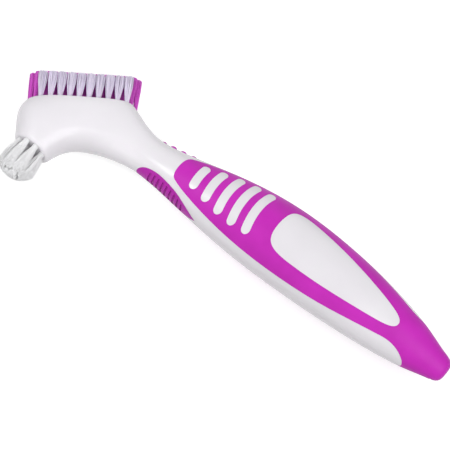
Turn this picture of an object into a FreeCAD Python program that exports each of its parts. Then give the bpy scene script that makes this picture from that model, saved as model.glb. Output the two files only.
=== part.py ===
"""Denture brush with a long brush and a small round one on its head, lying on its side. Sizes in millimetres.

The drawing frame has X along the handle from the neck towards the tail, Y in the plane of the profile on
the side of the long bristles, and Z across the handle. The brush is the same on both sides of Z = 0.
"""
import FreeCAD, Part
import math
import os

from FreeCAD import Placement, Rotation, Vector

# Handle, seen from the side
handle_length = 127.5
neck_depth = 13.2
neck_rise = -0.35
belly_depth = 28.9
belly_at = 61.0
belly_rise = 5.2
tail_depth = 13.0
tail_rise = 4.6
tail_round = 6.0
side_ratio = 0.90
ring_poles = 12

# Head, seen from the side: the bristle face is a flat cut over a thick hooked neck
head_face_middle = Vector(-27.6, -0.9, 0)
head_face_angle = 39.0
head_half_width = 8.6
end_face_middle = Vector(-29.9, -25.6, 0)
end_face_depth = 13.8
end_face_width = 13.2
end_face_edge = 1.6

# Soft skin over the handle
grip_wall = 1.2
core_sides = 16
panel_front = 12.4
panel_front_round = 9.0
stripe_half_width = 4.6
stripe_end_half_width = 6.4
stripe_round = 11.0
stripe_end = 114.0
slot_count = 5
slot_first = 21.4
slot_pitch = 5.70
slot_width = 3.1
slot_lengths = (10.4, 13.9, 16.8, 18.6, 18.7)
slot_drop = 0.15
slot_lean = 2.6
slot_bend_radius = 30.0
window_front = 53.2
window_length = 52.0
window_half_depth = 8.3
window_rise = 0.3
window_tilt = -1.5

# Ribbed pads on the neck
lower_pad_front = 2.0
lower_pad_length = 27.0
lower_pad_half_width = 4.4
groove_count = 9
groove_pitch = 1.9
groove_width = 0.8
groove_depth = 0.5
pad_border = 0.9
upper_pad_front = 0.5
upper_pad_length = 17.6
upper_pad_half_width = 2.9
bump_count = 4
bump_pitch = 3.75
bump_radius = 1.55
bump_height = 0.6
bump_edge = 0.3

# Long brush: four staggered rows, with one bundle more at each end
tuft_sides = 8
tuft_root_depth = 3.5
tuft_spread_share = 0.65
main_pitch = 3.32
main_row_pitch = 3.3
main_outer_count = 10
main_end_reach = 18.45
main_root_radius = 0.85
main_tip_radius = 1.75
main_end_tip_radius = 1.25
main_outer_length = 10.5
main_inner_length = 12.2
main_lean = 5.5

# Round brush on the end face, trimmed to a dome
end_ring_count = 8
end_ring_radius = 4.9
end_ring_tip_radius = 1.8
end_core_count = 3
end_core_radius = 1.6
end_core_tip_radius = 1.3
end_root_radius = 1.15
end_trim_height = 12.6
end_trim_radius = 8.5
end_trim_shift = -1.2
end_lean = 5.0

# Metal strip that wedges each bundle in its hole
anchor_width = 1.4
anchor_height = 1.5
anchor_thickness = 0.3

# How the brush lies when it is laid on its side
rest_pitch = -1.6
rest_roll = 5.5


def blend(low, high, share):
    """Value between two sizes."""
    return low + (high - low) * share


def handle_stations():
    """Distance along the handle, rise of its middle and half depth, from neck to tail."""
    neck, belly, tail = neck_depth / 2, belly_depth / 2, tail_depth / 2
    tail_start = handle_length - tail_round
    return [
        (0.0, neck_rise, neck),
        (0.17 * belly_at, blend(neck_rise, belly_rise, 0.18), blend(neck, belly, 0.15)),
        (0.40 * belly_at, blend(neck_rise, belly_rise, 0.45), blend(neck, belly, 0.50)),
        (0.68 * belly_at, blend(neck_rise, belly_rise, 0.75), blend(neck, belly, 0.87)),
        (belly_at, belly_rise, belly),
        (blend(belly_at, tail_start, 0.40), 1.05 * belly_rise, blend(tail, belly, 0.83)),
        (blend(belly_at, tail_start, 0.70), 1.00 * belly_rise, blend(tail, belly, 0.52)),
        (blend(belly_at, tail_start, 0.88), blend(belly_rise, tail_rise, 0.6), blend(tail, belly, 0.22)),
        (tail_start, tail_rise, 0.88 * tail),
    ]


def ring(middle, angle, half_depth, half_width, power):
    """Poles of one section of the skin: a rounded oval whose depth lies at the given angle in the profile."""
    across = Vector(math.cos(math.radians(angle)), math.sin(math.radians(angle)), 0)
    outside = 3 / (2 + math.cos(2 * math.pi / ring_poles))
    poles = []
    for step in range(ring_poles):
        turn = 2 * math.pi * step / ring_poles
        c, s = math.cos(turn), math.sin(turn)
        depth = outside * half_depth * math.copysign(abs(c) ** (2 / power), c)
        width = outside * half_width * math.copysign(abs(s) ** (2 / power), s)
        poles.append(middle + across * depth + Vector(0, 0, width))
    return poles


def ring_between(inner, outer, half_width, power, inset):
    """Head section drawn from a point of the arch under the head to a point of its outer side."""
    line = outer - inner
    angle = math.degrees(math.atan2(line.y, line.x))
    return ring((inner + outer) / 2, angle, line.Length / 2 - inset, half_width - inset, power)


def face_point(along, above):
    """Point of the profile plane given along the bristle face and above it."""
    turn = math.radians(head_face_angle)
    e = Vector(math.cos(turn), math.sin(turn), 0)
    n = Vector(-math.sin(turn), math.cos(turn), 0)
    return head_face_middle + e * along + n * above


def head_rings(inset):
    """Sections from the round end face through the hook of the head to the neck."""
    half = end_face_depth / 2
    end_left = end_face_middle + Vector(-half, -0.3, 0)
    end_right = end_face_middle + Vector(half, 0.3, 0)
    wide = head_half_width
    return [
        ring_between(end_right, end_left, end_face_width / 2, 2.1, inset),
        ring_between(Vector(-22.4, -21.4, 0), Vector(-39.6, -21.8, 0), 0.88 * wide, 2.2, inset),
        ring_between(Vector(-20.9, -17.3, 0), face_point(-23.2, -1.8), 0.95 * wide, 2.4, inset),
        ring_between(Vector(-18.3, -14.1, 0), face_point(-15.0, 4.4), wide, 2.5, inset),
        ring_between(Vector(-15.0, -11.8, 0), face_point(0.0, 4.2), wide, 2.5, inset),
        ring_between(Vector(-10.9, -10.0, 0), face_point(15.5, 4.9), 0.96 * wide, 2.5, inset),
        ring_between(Vector(-6.8, -8.7, 0), Vector(-10.2, 9.4, 0), 0.86 * wide, 2.3, inset),
    ]


def handle_rings(inset):
    """Sections from the neck to the rounded tail."""
    rings = []
    for along, rise, half in handle_stations():
        rings.append(ring(Vector(along, rise, 0), 90, half - inset, side_ratio * half - inset, 2.0))
    along, rise, half = handle_stations()[-1]
    for reach, share in ((0.62, 0.86), (0.96, 0.62), (1.0, 0.30), (1.0, 0.05)):
        middle = Vector(along + (tail_round - inset) * reach, rise, 0)
        rings.append(ring(middle, 90, (half - inset) * share, (side_ratio * half - inset) * share, 2.0))
    return rings


def skin(inset=0.0):
    """Solid inside the outer surface of handle, neck and head, drawn in by the given amount."""
    rings = head_rings(inset) + handle_rings(inset)
    spans = len(rings) - 3
    surface = Part.BSplineSurface()
    surface.buildFromPolesMultsKnots(
        [[ring[k] for ring in rings] for k in range(ring_poles)],
        [1] * (ring_poles + 1), [4] + [1] * (spans - 1) + [4],
        [float(k) for k in range(ring_poles + 1)], [float(k) for k in range(spans + 1)],
        True, False, 3, 3)
    caps = [Part.Face(Part.Wire(surface.vIso(level).toShape())) for level in (0.0, float(spans))]
    shell = Part.makeCompound([surface.toShape()] + caps)
    shell.sewShape()
    return Part.makeSolid(shell.Shells[0])


def core():
    """Faceted bar inside the handle that carries the soft parts, a wall's thickness under the skin."""
    outlines = []
    for along, rise, half in handle_stations():
        radius = half - grip_wall
        corners = [Vector(along, rise + radius * math.cos(turn), side_ratio * radius * math.sin(turn))
                   for turn in (2 * math.pi * k / core_sides for k in range(core_sides))]
        outlines.append(Part.makePolygon(corners + corners[:1]))
    return Part.makeLoft(outlines, True, True)


def both_sides(edges):
    """Closed outline of a chain of edges on one side of the X axis and its mirror image on the other."""
    mirror = [edge.mirror(Vector(0, 0, 0), Vector(0, 1, 0)) for edge in edges]
    return Part.Wire(Part.sortEdges(edges + mirror)[0])


def smooth_edge(poles):
    """Spline edge drawn by its poles; it leaves and ends along its first and last pair of poles."""
    curve = Part.BSplineCurve()
    curve.buildFromPoles(poles, False, 3)
    return curve.toShape()


def through(wire):
    """Solid of a side-view outline pushed right through the handle."""
    face = Part.Face(wire)
    face.translate(Vector(0, 0, -belly_depth))
    return face.extrude(Vector(0, 0, 2 * belly_depth))


def through_from_above(wire):
    """Solid of an outline seen from the bristle side, pushed through from the belly to the top."""
    solid = through(wire)
    solid.rotate(Vector(0, 0, 0), Vector(1, 0, 0), 90)
    return solid


def along_handle(station, column):
    """Size of the handle at a distance from the neck: column 1 is its middle's rise, 2 its half depth."""
    ribs = handle_stations()
    for low, high in zip(ribs, ribs[1:]):
        if station <= high[0]:
            return blend(low[column], high[column], (station - low[0]) / (high[0] - low[0]))
    return ribs[-1][column]


def stripe():
    """Cutter for the bare stripes along the top and the belly, between the two side panels of the grip."""
    end = stripe_end - stripe_round
    waist = blend(panel_front, end, 0.45)
    mouth = 0.6 * belly_depth
    poles = [
        Vector(panel_front, mouth, 0),
        Vector(panel_front, stripe_half_width + 2.2, 0),
        Vector(panel_front + 2.4, stripe_half_width + 1.7, 0),
        Vector(panel_front + 13.0, stripe_half_width + 1.0, 0),
        Vector(waist, stripe_half_width - 0.4, 0),
        Vector(blend(waist, end, 0.55), blend(stripe_half_width, stripe_end_half_width, 0.15), 0),
        Vector(blend(waist, end, 0.80), stripe_end_half_width, 0),
        Vector(end, stripe_end_half_width, 0),
    ]
    side = smooth_edge(poles)
    round_end = Part.Ellipse(Vector(end, 0, 0), stripe_round, stripe_end_half_width)
    arc = Part.ArcOfEllipse(round_end, 0, math.pi / 2).toShape()
    corner = Vector(panel_front - 5, mouth, 0)
    front = Part.LineSegment(Vector(corner.x, 0, 0), corner).toShape()
    top = Part.LineSegment(corner, poles[0]).toShape()
    return through_from_above(both_sides([front, top, side, arc]))


def bent_slot(length):
    """One slot outline: a band of even width with round ends, bowed towards the neck."""
    bend, r = slot_bend_radius, slot_width / 2
    half_turn = (length / 2 - r) / bend
    start, tip = Vector(-1, 0, 0), Vector(-math.cos(half_turn), math.sin(half_turn), 0)
    middle = Vector(-math.cos(half_turn / 2), math.sin(half_turn / 2), 0)
    outside = Part.Arc(start * (bend + r), middle * (bend + r), tip * (bend + r)).toShape()
    inside = Part.Arc(start * (bend - r), middle * (bend - r), tip * (bend - r)).toShape()
    along = Vector(tip.y, -tip.x, 0)
    end = Part.Arc(tip * (bend + r), tip * bend + along * r, tip * (bend - r)).toShape()
    return both_sides([outside, end, inside])


def slots():
    """Bent bars across each side of the handle, where the body shows through the grip."""
    bars = []
    for k in range(slot_count):
        station = slot_first + k * slot_pitch
        bar = through(bent_slot(slot_lengths[k]))
        bar.translate(Vector(slot_bend_radius, 0, 0))
        bar.rotate(Vector(0, 0, 0), Vector(0, 0, 1), slot_lean)
        bar.translate(Vector(station, along_handle(station, 1) - slot_drop, 0))
        bars.append(bar)
    return bars


def window():
    """Teardrop opening on each side of the grip, blunt towards the neck and long towards the tail."""
    shares = ((0, 0), (0, 0.64), (0.04, 1.07), (0.23, 1.04), (0.46, 0.91),
              (0.69, 0.68), (0.88, 0.46), (1, 0.25), (1, 0))
    side = smooth_edge([Vector(x * window_length, y * window_half_depth, 0) for x, y in shares])
    opening = through(both_sides([side]))
    opening.rotate(Vector(0, 0, 0), Vector(0, 0, 1), window_tilt)
    opening.translate(Vector(window_front, along_handle(window_front, 1) + window_rise, 0))
    return opening


def lens(front, length, half_width):
    """Leaf-shaped outline of a pad, blunt in front and pointed behind, pushed through the neck."""
    shares = ((0, 0), (0, 0.64), (0.15, 1.05), (0.47, 1.11), (0.76, 0.89), (1, 0))
    side = smooth_edge([Vector(x * length, y * half_width, 0) for x, y in shares])
    solid = through_from_above(both_sides([side]))
    solid.translate(Vector(front, 0, 0))
    return solid


def half_space(direction):
    """Large block on one side of the handle's middle line: 1 for the bristle side, -1 for the belly side."""
    size = 2 * handle_length
    block = Part.makeBox(size, size, size)
    block.translate(Vector(-size / 2, 0 if direction > 0 else -size, -size / 2))
    return block


def panel_plan():
    """Side-view outline that keeps the grip behind its rounded front edge."""
    r, mouth, end = panel_front_round, belly_depth, 2 * handle_length
    lean = r * math.sqrt(0.5)
    arc = Part.Arc(Vector(0, 0, 0), Vector(r - lean, lean, 0), Vector(r, r, 0)).toShape()
    corners = [Vector(r, r, 0), Vector(r, mouth, 0), Vector(end, mouth, 0), Vector(end, 0, 0)]
    lines = [Part.LineSegment(a, b).toShape() for a, b in zip(corners, corners[1:])]
    plan = through(both_sides([arc] + lines))
    plan.translate(Vector(panel_front, along_handle(panel_front, 1), 0))
    return plan


def grip(outer, inner):
    """Soft skin on both sides of the handle, one piece round the tail, with its slots and windows."""
    panels = outer.common(panel_plan()).cut(stripe()).cut(window())
    for bar in slots():
        panels = panels.cut(bar)
    return panels.cut(inner)


def pocket(outer, inner, plan, direction):
    """Recess in the neck that a pad fills: the plan of the pad on one side, as deep as the soft wall."""
    return outer.common(plan).common(half_space(direction)).cut(inner)


def lower_pad(recess):
    """Thumb pad let into the belly of the neck, with cross grooves inside a plain border."""
    field = lens(lower_pad_front + 2 * pad_border, lower_pad_length - 5 * pad_border,
                 lower_pad_half_width - pad_border).cut(skin(groove_depth))
    middle = lower_pad_front + 0.47 * lower_pad_length
    pad = recess
    for k in range(groove_count):
        station = middle + (k - (groove_count - 1) / 2) * groove_pitch
        bar = Part.makeBox(groove_width, 2 * belly_depth, belly_depth)
        bar.translate(Vector(station - groove_width / 2, -2 * belly_depth, -belly_depth / 2))
        pad = pad.cut(field.common(bar))
    return pad


def upper_pad(recess):
    """Finger pad let into the top of the neck, with round bars that stand proud of it."""
    top = lens(upper_pad_front + bump_edge, upper_pad_length - 2 * bump_edge,
               upper_pad_half_width - bump_edge)
    top = top.common(half_space(1)).cut(skin(grip_wall / 2))
    middle = upper_pad_front + 0.47 * upper_pad_length
    pad = recess
    for k in range(bump_count):
        station = middle + (k - (bump_count - 1) / 2) * bump_pitch
        crest = along_handle(station, 2) + bump_height - bump_radius
        centre = Vector(station, along_handle(station, 1), 0)
        bar = Part.makeTorus(crest, bump_radius, centre, Vector(1, 0, 0))
        pad = pad.fuse(bar.common(top))
    return pad


def polygon(middle, axis, radius):
    """Regular outline of a bundle of filaments, square to its axis."""
    side = Vector(0, 0, 1).cross(axis).normalize()
    corners = []
    for k in range(tuft_sides + 1):
        turn = 2 * math.pi * (k + 0.5) / tuft_sides
        corners.append(middle + side * (radius * math.cos(turn)) + Vector(0, 0, radius * math.sin(turn)))
    corners[-1] = corners[0]
    return Part.makePolygon(corners)


def bundle(foot, axis, root_radius, tip_radius, length):
    """One tuft: a straight root in its hole, then filaments that spread and stand side by side."""
    clear = 0.2
    levels = ((-tuft_root_depth, root_radius), (clear, root_radius),
              (tuft_spread_share * length, tip_radius), (length, tip_radius))
    return Part.makeLoft([polygon(foot + axis * level, axis, r) for level, r in levels], True, True)


def hole(foot, axis, root_radius):
    """Blind hole for a bundle, open above the face."""
    levels = (-tuft_root_depth, 1.0)
    return Part.makeLoft([polygon(foot + axis * level, axis, root_radius) for level in levels], True, True)


def anchor(foot, axis):
    """Metal strip at the foot of a hole, over which the filaments are folded."""
    strip = Part.makeBox(anchor_width, anchor_thickness, anchor_height)
    strip.translate(Vector(-anchor_width / 2, -anchor_thickness / 2, 0))
    upright = Rotation(Vector(0, 0, 1), axis)
    strip.Placement = Placement(foot - axis * tuft_root_depth, upright) * strip.Placement
    return strip


def main_feet():
    """Foot on the bristle face, tip radius and length of every bundle of the long brush."""
    feet = []
    for row in (1.5, 0.5, -0.5, -1.5):
        outer = abs(row) > 1
        count = main_outer_count if outer else main_outer_count + 1
        length = main_outer_length if outer else main_inner_length
        for k in range(count):
            foot = face_point((k - (count - 1) / 2) * main_pitch, 0) + Vector(0, 0, row * main_row_pitch)
            beside_end = not outer and k in (0, count - 1)
            feet.append((foot, main_end_tip_radius if beside_end else main_tip_radius, length))
    for along in (-main_end_reach, main_end_reach):
        feet.append((face_point(along, 0), main_end_tip_radius, main_inner_length))
    return feet


def end_feet():
    """Foot of every bundle of the round brush, its tip radius and its length up to the domed trim."""
    feet = []
    for count, radius, tip_radius in ((end_ring_count, end_ring_radius, end_ring_tip_radius),
                                      (end_core_count, end_core_radius, end_core_tip_radius)):
        for k in range(count):
            turn = 2 * math.pi * (k + 0.5) / count
            x, z = radius * math.cos(turn), radius * math.sin(turn)
            drop = end_trim_radius - math.sqrt(end_trim_radius ** 2 - (x - end_trim_shift) ** 2 - z * z)
            feet.append((end_face_middle + Vector(x, 0, z), tip_radius, end_trim_height - drop))
    return feet


def head_face_block():
    """Cutter above the flat bristle face."""
    size = handle_length
    block = Part.makeBox(size, size, size)
    block.translate(Vector(-size / 2, 0, -size / 2))
    turn = Rotation(Vector(0, 0, 1), head_face_angle)
    block.Placement = Placement(head_face_middle, turn) * block.Placement
    return block


def body(outer, inlays, holes):
    """White moulding: the whole skin, cut flat under the long brush, less the inlays and tuft holes."""
    end_cap = min(outer.Faces, key=lambda face: (face.CenterOfMass - end_face_middle).Length)
    blank = outer.makeFillet(end_face_edge, end_cap.Edges)
    blank = blank.cut(head_face_block())
    return blank.cut(inlays).cut(holes)


def solids_of(shape):
    """The solids of a shape, alone or as one compound."""
    found = shape.Solids
    return found[0] if len(found) == 1 else Part.makeCompound(found)


outer_skin = skin()
inner_core = core()

lean = math.radians(head_face_angle + 90 - main_lean)
main_axis = Vector(math.cos(lean), math.sin(lean), 0)
end_axis = Vector(math.sin(math.radians(end_lean)), -math.cos(math.radians(end_lean)), 0)

pieces = {}
lower_plan = lens(lower_pad_front, lower_pad_length, lower_pad_half_width)
upper_plan = lens(upper_pad_front, upper_pad_length, upper_pad_half_width)
lower_pocket = pocket(outer_skin, inner_core, lower_plan, -1)
upper_pocket = pocket(outer_skin, inner_core, upper_plan, 1)
pieces["grip"] = grip(outer_skin, inner_core)
pieces["lower_pad"] = lower_pad(lower_pocket)
pieces["upper_pad"] = upper_pad(upper_pocket)

tufts, holes, anchors = {}, [], []
for number, (foot, tip_radius, length) in enumerate(main_feet(), 1):
    tufts["main_tuft_%02d" % number] = bundle(foot, main_axis, main_root_radius, tip_radius, length)
    holes.append(hole(foot, main_axis, main_root_radius))
    anchors.append(anchor(foot, main_axis))
for number, (foot, tip_radius, length) in enumerate(end_feet(), 1):
    tufts["end_tuft_%02d" % number] = bundle(foot, end_axis, end_root_radius, tip_radius, length)
    holes.append(hole(foot, end_axis, end_root_radius))
    anchors.append(anchor(foot, end_axis))

pieces["body"] = body(outer_skin, [pieces["grip"], lower_pocket, upper_pocket], holes)
for (name, tuft), strip in zip(tufts.items(), anchors):
    pieces[name] = tuft.cut(strip)
pieces["anchors"] = Part.makeCompound(anchors)

# The brush is laid on its side, and the frame's origin goes to the middle of its footprint
laid = Rotation(Vector(0, 1, 0), rest_pitch).multiply(Rotation(Vector(1, 0, 0), rest_roll))
whole = Part.makeCompound(list(pieces.values()))
whole.Placement = Placement(Vector(0, 0, 0), laid)
box = whole.optimalBoundingBox(False, False)
shift = Vector(-(box.XMin + box.XMax) / 2, -(box.YMin + box.YMax) / 2, -box.ZMin)

os.makedirs("parts", exist_ok=True)
for name, shape in pieces.items():
    placed = solids_of(shape)
    placed.Placement = Placement(shift, laid).multiply(placed.Placement)
    placed.exportStep("parts/%s.step" % name)
    print(name, len(placed.Solids), round(placed.Volume, 2), placed.isValid())
print("box", [round(v, 2) for v in (box.XLength, box.YLength, box.ZLength)], "shift", shift)
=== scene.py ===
"""Denture brush, dressed for a studio picture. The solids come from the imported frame; lengths are in metres.

The brush is put together here as in the factory: the hard body first, then the soft grip and pads moulded
over it, then the two brushes, which are punched in last. The studio and the camera follow.
"""
import math

import bmesh
import bpy
import numpy as np
from mathutils import Matrix, Vector


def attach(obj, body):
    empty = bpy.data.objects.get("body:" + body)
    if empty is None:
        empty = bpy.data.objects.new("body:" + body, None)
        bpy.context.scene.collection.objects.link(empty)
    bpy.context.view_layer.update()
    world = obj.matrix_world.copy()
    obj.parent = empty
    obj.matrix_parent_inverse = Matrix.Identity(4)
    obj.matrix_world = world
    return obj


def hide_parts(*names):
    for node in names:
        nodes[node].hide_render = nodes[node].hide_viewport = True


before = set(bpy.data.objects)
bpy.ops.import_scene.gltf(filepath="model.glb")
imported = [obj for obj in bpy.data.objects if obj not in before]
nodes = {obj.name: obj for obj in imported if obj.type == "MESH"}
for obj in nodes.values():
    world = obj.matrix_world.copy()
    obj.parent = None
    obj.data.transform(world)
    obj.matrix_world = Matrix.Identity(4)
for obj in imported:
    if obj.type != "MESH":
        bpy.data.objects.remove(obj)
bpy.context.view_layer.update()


# Body: one injection moulding of glossy white polypropylene, from the hooked head to the tail.
# It is polished all over, so the lamps show in it as soft-edged patches. Ejected from a tool
# whose halves meet in the plane of the profile.
body_white = (0.87, 0.845, 0.885)
body_shade = (0.84, 0.815, 0.855)
body_gloss_roughness = 0.2
body_drift = 60.0
body_grain = 900.0
body_grain_depth = 0.00001
drift_band = (0.35, 0.65)


def new_finish(name, roughness):
    """Empty node-based material, its node tree and its shader."""
    finish = bpy.data.materials.new(name)
    finish.use_nodes = True
    shader = finish.node_tree.nodes["Principled BSDF"]
    shader.inputs["Roughness"].default_value = roughness
    return finish, finish.node_tree, shader


def noise(tree, per_metre, detail=3.0):
    """Cloudy variation over the object, per_metre clouds to the metre, the same in every view."""
    coordinates = tree.nodes.new("ShaderNodeTexCoord")
    texture = tree.nodes.new("ShaderNodeTexNoise")
    texture.inputs["Scale"].default_value = per_metre
    texture.inputs["Detail"].default_value = detail
    tree.links.new(coordinates.outputs["Object"], texture.inputs["Vector"])
    return texture.outputs["Fac"]


def tint(tree, shader, clouds, low, high):
    """Base colour that drifts between two near shades with the clouds."""
    ramp = tree.nodes.new("ShaderNodeValToRGB")
    for stop, position, colour in zip(ramp.color_ramp.elements, drift_band, (low, high)):
        stop.position = position
        stop.color = (*colour, 1)
    tree.links.new(clouds, ramp.inputs["Fac"])
    tree.links.new(ramp.outputs["Color"], shader.inputs["Base Color"])


def relief(tree, shader, height, depth):
    """Fine relief of the surface, depth metres high."""
    bump = tree.nodes.new("ShaderNodeBump")
    bump.inputs["Strength"].default_value = 1.0
    bump.inputs["Distance"].default_value = depth
    tree.links.new(height, bump.inputs["Height"])
    tree.links.new(bump.outputs["Normal"], shader.inputs["Normal"])


def dress(node, finish):
    """Puts a finish on a CAD node in place of its plain one."""
    mesh = nodes[node].data
    mesh.materials.clear()
    mesh.materials.append(finish)


moulding, tree, shader = new_finish("white_polypropylene", body_gloss_roughness)
tint(tree, shader, noise(tree, body_drift), body_shade, body_white)
shader.inputs["Specular IOR Level"].default_value = 0.4
shader.inputs["Subsurface Weight"].default_value = 0.15
shader.inputs["Subsurface Radius"].default_value = (0.003, 0.0026, 0.003)
shader.inputs["Subsurface Scale"].default_value = 0.5
relief(tree, shader, noise(tree, body_grain, detail=2.0), body_grain_depth)
dress("body", moulding)


# Anchors: thin brass strips, one at the foot of each hole, over which the filaments are folded
# and wedged. They are hidden once the brushes are in.
brass_dark = (0.70, 0.53, 0.24)
brass_light = (0.78, 0.62, 0.32)
brass_roughness = 0.35
brass_drift = 1500.0

brass, tree, shader = new_finish("anchor_brass", brass_roughness)
shader.inputs["Metallic"].default_value = 1.0
tint(tree, shader, noise(tree, brass_drift), brass_dark, brass_light)
dress("anchors", brass)


# Grip: soft magenta elastomer moulded over both sides of the handle and round the tail, flush
# with the hard body, which shows in the slots and the long window. Silky, not polished.
grip_magenta = (0.62, 0.022, 0.53)
grip_deep = (0.56, 0.018, 0.475)
grip_roughness = 0.5
grip_drift = 90.0
grip_grain = 3500.0
grip_grain_depth = 0.000012

soft_skin, tree, shader = new_finish("magenta_elastomer", grip_roughness)
tint(tree, shader, noise(tree, grip_drift), grip_deep, grip_magenta)
shader.inputs["Specular IOR Level"].default_value = 0.25
shader.inputs["Sheen Weight"].default_value = 0.03
shader.inputs["Sheen Roughness"].default_value = 0.4
shader.inputs["Sheen Tint"].default_value = (1.0, 0.5, 0.95, 1.0)
relief(tree, shader, noise(tree, grip_grain, detail=2.0), grip_grain_depth)
dress("grip", soft_skin)


# Thumb and finger pads: the same elastomer in two recesses of the neck, grooved below and with
# bumps above, so that wet fingers don't slip. The grooves and bumps are in the solids. Their magenta
# is the grip's painted darker: painted shade, since the pads turn away from the light.
pad_magenta_painted_shade = (0.52, 0.02, 0.455)
pad_deep_painted_shade = (0.46, 0.016, 0.40)
pad_roughness = 0.45
pad_drift = 120.0
pad_grain = 3000.0
pad_grain_depth = 0.00001

pad_skin_painted_shade, tree, shader = new_finish("pad_elastomer_painted_shade", pad_roughness)
# Painted shade: the pads get a darker copy of the grip's magenta.
tint(tree, shader, noise(tree, pad_drift), pad_deep_painted_shade, pad_magenta_painted_shade)
shader.inputs["Specular IOR Level"].default_value = 0.3
relief(tree, shader, noise(tree, pad_grain, detail=2.0), pad_grain_depth)
dress("lower_pad", pad_skin_painted_shade)
dress("upper_pad", pad_skin_painted_shade)


# Long brush: bundles of nylon filaments 0.19 mm thick, folded over their anchors, which spread
# above the face until they stand side by side, and are trimmed level with rounded ends. The two
# outer rows are a white that is faintly lilac, the inner ones and the bundles at the ends magenta.
long_filament_radius = 0.000095
long_filament_count = 120
outer_spread = 1.06
inner_spread = 1.12
long_uneven = 0.0003
straight_bulge = 0.5
nylon_roughness = 0.45
nylon_drift = 2600.0
lilac_low, lilac_high = (0.84, 0.76, 0.95), (0.90, 0.835, 0.975)
magenta_low, magenta_high = (0.70, 0.08, 0.63), (0.81, 0.13, 0.745)

filament_sides = 6
rounded_end_widths = (0.97, 0.6)  # of the last two rings, in filament radii
rounded_end_height = 0.6  # in filament radii
bundle_sides = 8  # of the solid that stands for a bundle
end_slice = 0.0002  # points this near an end of the solid belong to that end
radius_tolerance = 0.03  # a stretch is straight while its radius changes by less than this share
folded_end = 0.0004  # where a filament leaves its anchor, above the foot of the hole
crowding = 0.42  # 0.5 sets the filaments evenly, less sets them nearer the edge of the bundle
turn_scatter = 0.3  # radians off the even spiral
least_spread = 0.86  # of the filament that spreads last
spread_delay = 0.6  # how much of that lateness is left where the bundle has its full width
astray_share = 0.25  # how far the tips stray, as a share of how uneven they are trimmed
astray_below = 0.4  # how much of that a filament has strayed where the bundle has its full width
clearance = 1.5  # filament radii from a filament's middle to the bundle's edge or the table


def bundle_frame(node):
    """Foot, axis and length of a bundle's solid, its radius at the root and the tip, and where it starts
    and ends to spread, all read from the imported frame."""
    points = np.array([vertex.co for vertex in nodes[node].data.vertices])
    middle = points.mean(0)
    axis = np.linalg.svd(points - middle)[2][0]
    reach = (points - middle) @ axis
    radius = np.linalg.norm(points - middle - np.outer(reach, axis), axis=1)
    if radius[reach > reach.max() - end_slice].mean() < radius[reach < reach.min() + end_slice].mean():
        axis, reach = -axis, -reach
    foot = points[reach < reach.min() + end_slice].mean(0)
    reach = (points - foot) @ axis
    radius = np.linalg.norm(points - foot - np.outer(reach, axis), axis=1)
    root_radius = radius[reach < end_slice].max()
    tip_radius = radius[reach > reach.max() - end_slice].max()
    spread_start = reach[np.abs(radius - root_radius) < radius_tolerance * root_radius].max()
    spread_end = reach[radius > (1 - radius_tolerance) * tip_radius].min()
    return Vector(foot), Vector(axis), float(reach.max()), root_radius, tip_radius, spread_start, spread_end


def grow_filament(mesh, course, side, across, filament_radius):
    """One filament as a thin tube along its course, closed by a rounded end."""
    rings = []
    widths = [1.0] * (len(course) - 1) + list(rounded_end_widths)
    along = (course[-1] - course[-2]).normalized()
    stops = course + [course[-1] + along * (rounded_end_height * filament_radius)]
    for point, width in zip(stops, widths):
        ring = []
        for k in range(filament_sides):
            turn = 2 * math.pi * k / filament_sides
            out = side * math.cos(turn) + across * math.sin(turn)
            ring.append(mesh.verts.new(point + out * (filament_radius * width)))
        rings.append(ring)
    for low, high in zip(rings, rings[1:]):
        for k in range(filament_sides):
            n = (k + 1) % filament_sides
            mesh.faces.new((low[k], low[n], high[n], high[k]))
    mesh.faces.new(rings[-1])
    mesh.faces.new(rings[0][::-1])


def grow_bundles(name, names, count, filament_radius, seed, uneven, spread, bulge, dome=None):
    """All filaments of the named bundles, as one piece that stands for their solids.

    The tips spread by a factor over the solid's, and halfway up they have spread by the share bulge. They
    are trimmed level, or where they leave a ball given as its centre and radius, uneven by a length.
    """
    chance = np.random.default_rng(seed)
    mesh = bmesh.new()
    golden_turn = math.pi * (3 - math.sqrt(5))
    flat = math.cos(math.pi / bundle_sides)
    for node in names:
        foot, axis, length, root_radius, tip_radius, spread_start, spread_end = bundle_frame(node)
        side = axis.orthogonal().normalized()
        across = axis.cross(side)
        root_free = flat * root_radius - filament_radius
        tip_free = spread * flat * tip_radius - clearance * filament_radius
        for k in range(count):
            share = ((k + 0.5) / count) ** crowding
            turn = k * golden_turn + chance.uniform(-turn_scatter, turn_scatter)
            out = side * math.cos(turn) + across * math.sin(turn)
            late = chance.uniform(least_spread, 1.0)
            astray = (side * chance.normal(0, 1) + across * chance.normal(0, 1)) * (astray_share * uneven)
            trim = length
            if dome:
                centre, ball_radius = dome
                lever = foot + out * (tip_free * share) + astray - centre
                back = -axis.dot(lever)
                trim = back + math.sqrt(max(0.0, back * back - lever.length_squared + ball_radius ** 2))
            trim -= filament_radius + chance.uniform(0.0, uneven)
            stations = (folded_end, spread_start, (spread_start + spread_end) / 2, spread_end, trim)
            radii = (root_free, root_free, root_free + (tip_free - root_free) * bulge * late,
                     tip_free * (1 - spread_delay + spread_delay * late), tip_free)
            course = [foot + axis * reach + out * (radius * share) for reach, radius in zip(stations, radii)]
            course[3] += astray * astray_below
            course[4] += astray
            course[4].z = max(course[4].z, clearance * filament_radius)
            grow_filament(mesh, course, side, across, filament_radius)
    data = bpy.data.meshes.new(name)
    mesh.to_mesh(data)
    mesh.free()
    data.shade_smooth()
    piece = bpy.data.objects.new(name, data)
    bpy.context.scene.collection.objects.link(piece)
    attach(piece, "root")
    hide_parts(*names)
    return piece


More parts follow.
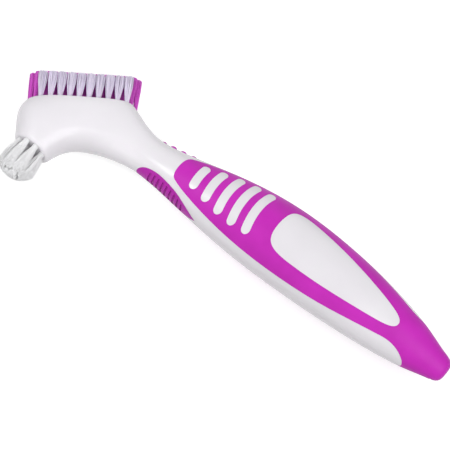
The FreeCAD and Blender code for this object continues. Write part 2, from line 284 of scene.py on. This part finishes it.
def nylon(name, low, high):
    """Nylon filament: lets a little light through, with a soft gloss and shades that differ a little."""
    finish, tree, shader = new_finish(name, nylon_roughness)
    tint(tree, shader, noise(tree, nylon_drift, detail=1.0), low, high)
    shader.inputs["Subsurface Weight"].default_value = 0.1
    shader.inputs["Subsurface Radius"].default_value = (0.0002, 0.0002, 0.0002)
    shader.inputs["Subsurface Scale"].default_value = 1.0
    return finish


outer_names = ["main_tuft_%02d" % k for k in [*range(1, 11), *range(33, 43)]]
inner_names = ["main_tuft_%02d" % k for k in [*range(11, 33), 43, 44]]

outer_rows = grow_bundles("outer_rows", outer_names, long_filament_count, long_filament_radius, seed=3,
                          uneven=long_uneven, spread=outer_spread, bulge=straight_bulge)
outer_rows.data.materials.append(nylon("lilac_nylon", lilac_low, lilac_high))

inner_rows = grow_bundles("inner_rows", inner_names, long_filament_count, long_filament_radius, seed=4,
                          uneven=long_uneven, spread=inner_spread, bulge=straight_bulge)
inner_rows.data.materials.append(nylon("magenta_nylon", magenta_low, magenta_high))


# Round brush: eleven white bundles of nylon filaments 0.2 mm thick, eight in a ring and three
# inside it, on the end of the head. Trimmed to a low dome that reaches the inside of a denture.
round_filament_radius = 0.0001
round_filament_count = 260
round_spread = 1.2
round_uneven = 0.0004
full_bulge = 0.66
white_low, white_high = (0.92, 0.92, 0.93), (0.97, 0.97, 0.98)
end_names = ["end_tuft_%02d" % k for k in range(1, 12)]


def trimming_ball(names):
    """Centre and radius of the ball that passes nearest the tips of the bundles."""
    tips = []
    for node in names:
        foot, axis, length, *_ = bundle_frame(node)
        tips.append(foot + axis * length)
    tips = np.array(tips)
    terms = np.column_stack([2 * tips, np.ones(len(tips))])
    fit = np.linalg.lstsq(terms, (tips ** 2).sum(1), rcond=None)[0]
    centre = Vector(fit[:3])
    return centre, math.sqrt(fit[3] + centre.length_squared)


round_brush = grow_bundles("round_brush", end_names, round_filament_count, round_filament_radius, seed=5,
                           uneven=round_uneven, spread=round_spread, bulge=full_bulge,
                           dome=trimming_ball(end_names))
round_brush.data.materials.append(nylon("white_nylon", white_low, white_high))


# Studio: a plain white table that runs out of the picture in a pale room, a large soft lamp from
# the tail's side, and weaker ones for the head, the underside and the back. The table keeps the
# soft shadow of the brush.
table_reach = 3.0
table_grey = (0.45, 0.45, 0.45, 1)
table_glow = (0.74, 0.74, 0.74, 1)
table_roughness = 0.6
room_light = 0.24
brush_middle = Vector((-0.0013, 0.0058, 0.0114))
head_middle = Vector((-0.065, 0.0, 0.012))


def looked_at(tree):
    """1 for rays that see the studio itself, straight on, mirrored or through something, else 0."""
    rays = tree.nodes.new("ShaderNodeLightPath")
    seen = rays.outputs["Is Camera Ray"]
    for kind in ("Is Glossy Ray", "Is Transmission Ray"):
        either = tree.nodes.new("ShaderNodeMath")
        either.operation = "MAXIMUM"
        tree.links.new(seen, either.inputs[0])
        tree.links.new(rays.outputs[kind], either.inputs[1])
        seen = either.outputs[0]
    return seen


def lamp(name, azimuth, elevation, distance, width, watts, aim=brush_middle):
    """Soft square lamp that faces the brush, or one point of it, from a direction given in degrees."""
    a, e = math.radians(azimuth), math.radians(elevation)
    direction = Vector((math.cos(e) * math.cos(a), math.cos(e) * math.sin(a), math.sin(e)))
    light = bpy.data.lights.new(name, "AREA")
    light.shape = "RECTANGLE"
    light.size = light.size_y = width
    light.energy = watts
    holder = bpy.data.objects.new(name, light)
    holder.location = aim + direction * distance
    holder.rotation_euler = direction.to_track_quat("Z", "Y").to_euler()
    bpy.context.scene.collection.objects.link(holder)


table_data = bpy.data.meshes.new("table")
corners = [(x * table_reach, y * table_reach, 0) for x, y in ((-1, -1), (1, -1), (1, 1), (-1, 1))]
table_data.from_pydata(corners, [], [(0, 1, 2, 3)])
table = bpy.data.objects.new("table", table_data)
bpy.context.scene.collection.objects.link(table)
table_white, tree, shader = new_finish("white_table", table_roughness)
shader.inputs["Base Color"].default_value = table_grey
shader.inputs["Specular IOR Level"].default_value = 0.1
glow = tree.nodes.new("ShaderNodeEmission")
glow.inputs["Color"].default_value = table_glow
tree.links.new(looked_at(tree), glow.inputs["Strength"])
both = tree.nodes.new("ShaderNodeAddShader")
tree.links.new(shader.outputs[0], both.inputs[0])
tree.links.new(glow.outputs[0], both.inputs[1])
tree.links.new(both.outputs[0], tree.nodes["Material Output"].inputs["Surface"])
table_data.materials.append(table_white)

world = bpy.data.worlds.new("pale_room")
bpy.context.scene.world = world
world.use_nodes = True
room = world.node_tree.nodes["Background"]
room.inputs["Color"].default_value = (1, 1, 1, 1)
brighter = world.node_tree.nodes.new("ShaderNodeMath")
brighter.operation = "MULTIPLY_ADD"
brighter.inputs[1].default_value = 1 - room_light
brighter.inputs[2].default_value = room_light
world.node_tree.links.new(looked_at(world.node_tree), brighter.inputs[0])
world.node_tree.links.new(brighter.outputs[0], room.inputs["Strength"])

lamp("key_lamp", azimuth=-20.0, elevation=50.0, distance=1.0, width=0.8, watts=5.9)
lamp("head_lamp", azimuth=-134.0, elevation=50.0, distance=0.35, width=0.14, watts=0.46, aim=head_middle)
lamp("low_lamp", azimuth=-90.0, elevation=18.0, distance=1.0, width=0.6, watts=1.2)
lamp("back_lamp", azimuth=110.0, elevation=40.0, distance=1.0, width=0.8, watts=1.3)


# Camera: a long lens that looks down on the brush from the tail side of square, turned so
# that the handle falls from the upper left to the lower right of the picture.
camera_azimuth = -75.257
camera_elevation = 57.727
camera_roll = 26.375
camera_distance = 0.6152
camera_target = Vector((-0.00124, 0.00567, 0.0114))

camera_data = bpy.data.cameras.new("camera")
camera_data.sensor_width = 36.0
camera_data.lens = 144.0
camera = bpy.data.objects.new("camera", camera_data)
bpy.context.scene.collection.objects.link(camera)
bpy.context.scene.camera = camera
a, e = math.radians(camera_azimuth), math.radians(camera_elevation)
back = Vector((math.cos(e) * math.cos(a), math.cos(e) * math.sin(a), math.sin(e)))
level = Vector((-math.sin(a), math.cos(a), 0))
upright = back.cross(level)
turn = math.radians(camera_roll)
right = level * math.cos(turn) + upright * math.sin(turn)
up = back.cross(right)
facing = Matrix((right, up, back)).transposed().to_4x4()
camera.matrix_world = Matrix.Translation(camera_target + back * camera_distance) @ facing
bpy.context.scene.view_settings.view_transform = "Standard"
